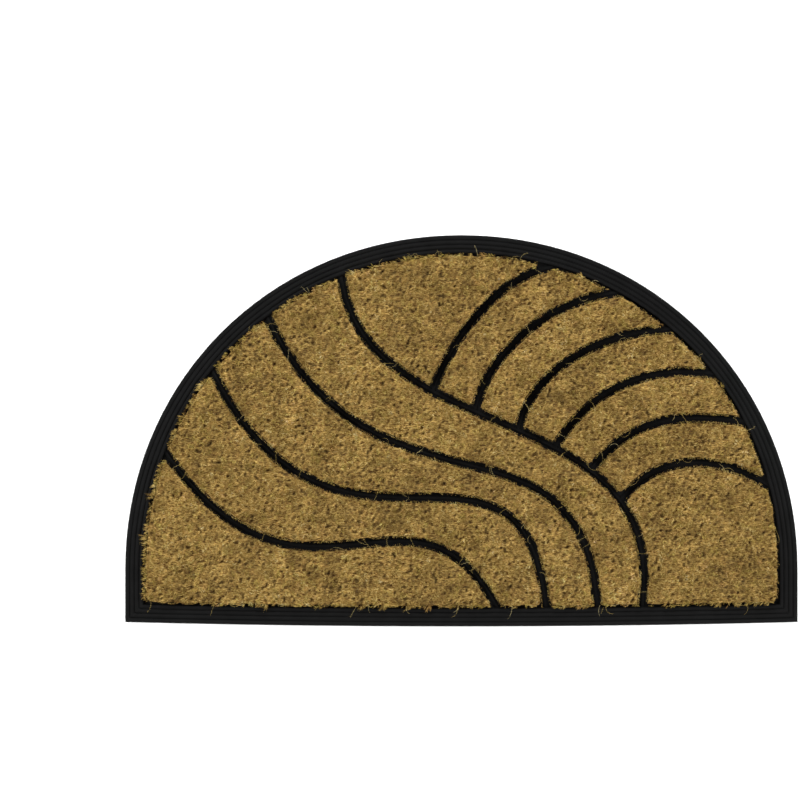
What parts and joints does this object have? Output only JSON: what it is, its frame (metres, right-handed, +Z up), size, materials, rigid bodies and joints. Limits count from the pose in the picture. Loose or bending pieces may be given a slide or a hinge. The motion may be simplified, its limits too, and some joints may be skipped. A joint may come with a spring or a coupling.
{
  "type": "half-moon doormat",
  "caption": "Half-moon doormat: black rubber tray with a ridged border and raised curved ribs, its pockets filled with brown coir pile.",
  "frame": {"origin": "middle of the bounding box's underside: the mat lies on z = 0", "axes": "+X along the width to the right, +Y from the straight front edge towards the arch, +Z up out of the pile"},
  "size_m": [0.695, 0.4046, 0.0132],
  "materials": {
    "rubber": "matt moulded black rubber",
    "coir": "natural brown coir pile"
  },
  "bodies": {
    "root": {"rubber_tray": "rubber", "coir_01": "coir", "coir_02": "coir", "coir_03": "coir", "coir_04": "coir", "coir_05": "coir", "coir_06": "coir", "coir_07": "coir", "coir_08": "coir", "coir_09": "coir", "coir_10": "coir", "coir_11": "coir"}
  },
  "joints": []
}
